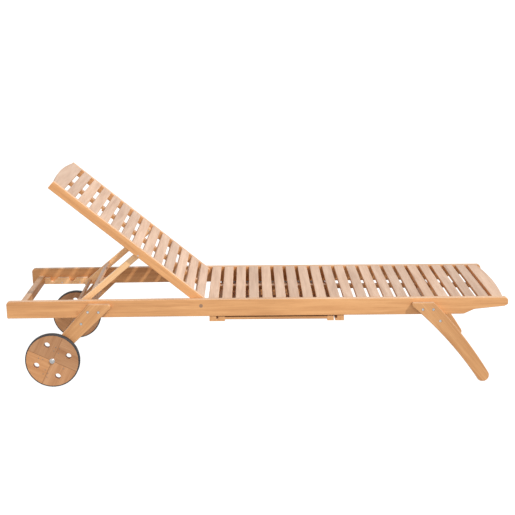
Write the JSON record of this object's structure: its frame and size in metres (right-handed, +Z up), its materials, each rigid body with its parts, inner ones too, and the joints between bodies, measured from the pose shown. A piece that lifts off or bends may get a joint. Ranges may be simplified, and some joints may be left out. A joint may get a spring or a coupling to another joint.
{
  "type": "sun lounger",
  "caption": "Wooden reclining sun lounger with slatted seat, propped backrest on racks, wheels at the head end, curved legs and a slide-out tray",
  "frame": {"origin": "on the floor under the middle of the side rails", "axes": "+X towards the foot end, +Z up, +Y across to the far rail"},
  "size_m": [2.0017, 0.728, 0.8239],
  "materials": {
    "frame_wood": "oiled, satin",
    "slat_wood": "oiled, satin",
    "wheel_wood": "oiled, satin",
    "steel": "zinc plated",
    "rubber": "matt"
  },
  "bodies": {
    "frame": {"axle": "steel", "axle_caps": "steel", "axle_spacers": "steel", "foot_crossbar": "frame_wood", "foot_slat": "slat_wood", "front_leg_far": "frame_wood", "front_leg_near": "frame_wood", "front_stretcher": "frame_wood", "head_crossbar": "frame_wood", "hinge_pins": "steel", "hinge_plugs": "frame_wood", "leg_screws": "steel", "rack_far": "frame_wood", "rack_near": "frame_wood", "rack_screws": "steel", "rear_leg_far": "frame_wood", "rear_leg_near": "frame_wood", "rear_stretcher": "frame_wood", "seat_centre_batten": "frame_wood", "seat_cross_rails": "frame_wood", "seat_slat_01": "slat_wood", "seat_slat_02": "slat_wood", "seat_slat_03": "slat_wood", "seat_slat_04": "slat_wood", "seat_slat_05": "slat_wood", "seat_slat_06": "slat_wood", "seat_slat_07": "slat_wood", "seat_slat_08": "slat_wood", "seat_slat_09": "slat_wood", "seat_slat_10": "slat_wood", "seat_slat_11": "slat_wood", "seat_slat_12": "slat_wood", "seat_slat_13": "slat_wood", "seat_slat_14": "slat_wood", "seat_slat_15": "slat_wood", "seat_slat_16": "slat_wood", "seat_slat_17": "slat_wood", "seat_slat_18": "slat_wood", "seat_slat_19": "slat_wood", "seat_slat_20": "slat_wood", "seat_slat_21": "slat_wood", "side_rail_far": "frame_wood", "side_rail_near": "frame_wood", "tray_runners": "frame_wood"},
    "backrest": {"backrest_stile_near": "frame_wood", "backrest_stile_far": "frame_wood", "backrest_slats": "slat_wood", "head_slat": "slat_wood", "backrest_batten": "frame_wood", "prop_bolts": "steel"},
    "prop": {"prop_arm_near": "frame_wood", "prop_arm_far": "frame_wood", "prop_dowel": "frame_wood", "prop_crossbar": "frame_wood"},
    "wheel_near_body": {"wheel_near": "wheel_wood", "tyre_near": "rubber"},
    "wheel_far_body": {"wheel_far": "wheel_wood", "tyre_far": "rubber"},
    "tray": {"tray_stiles": "frame_wood", "tray_boards": "slat_wood"}
  },
  "joints": [
    {"name": "backrest_recline", "type": "hinge", "parent": "frame", "child": "backrest", "pos_m": [-0.225, 0, 0.316], "axis": [0, 1, 0], "range_deg": [-39.25, 0]},
    {"name": "prop_fold", "type": "hinge", "parent": "backrest", "child": "prop", "pos_m": [-0.4733, 0, 0.51628], "axis": [0, 1, 0], "range_deg": [0, 77]},
    {"name": "wheel_near_spin", "type": "hinge", "parent": "frame", "child": "wheel_near_body", "pos_m": [-0.818, -0.344, 0.109], "axis": [0, 1, 0], "continuous": true},
    {"name": "wheel_far_spin", "type": "hinge", "parent": "frame", "child": "wheel_far_body", "pos_m": [-0.818, 0.344, 0.109], "axis": [0, 1, 0], "continuous": true},
    {"name": "tray_slide", "type": "slide", "parent": "frame", "child": "tray", "axis": [0, -1, 0], "range_m": [-0.35, 0.35]}
  ],
  "couplings": [
    {"joint": "prop_fold", "follows": "backrest_recline", "ratio": -1.9606}
  ]
}
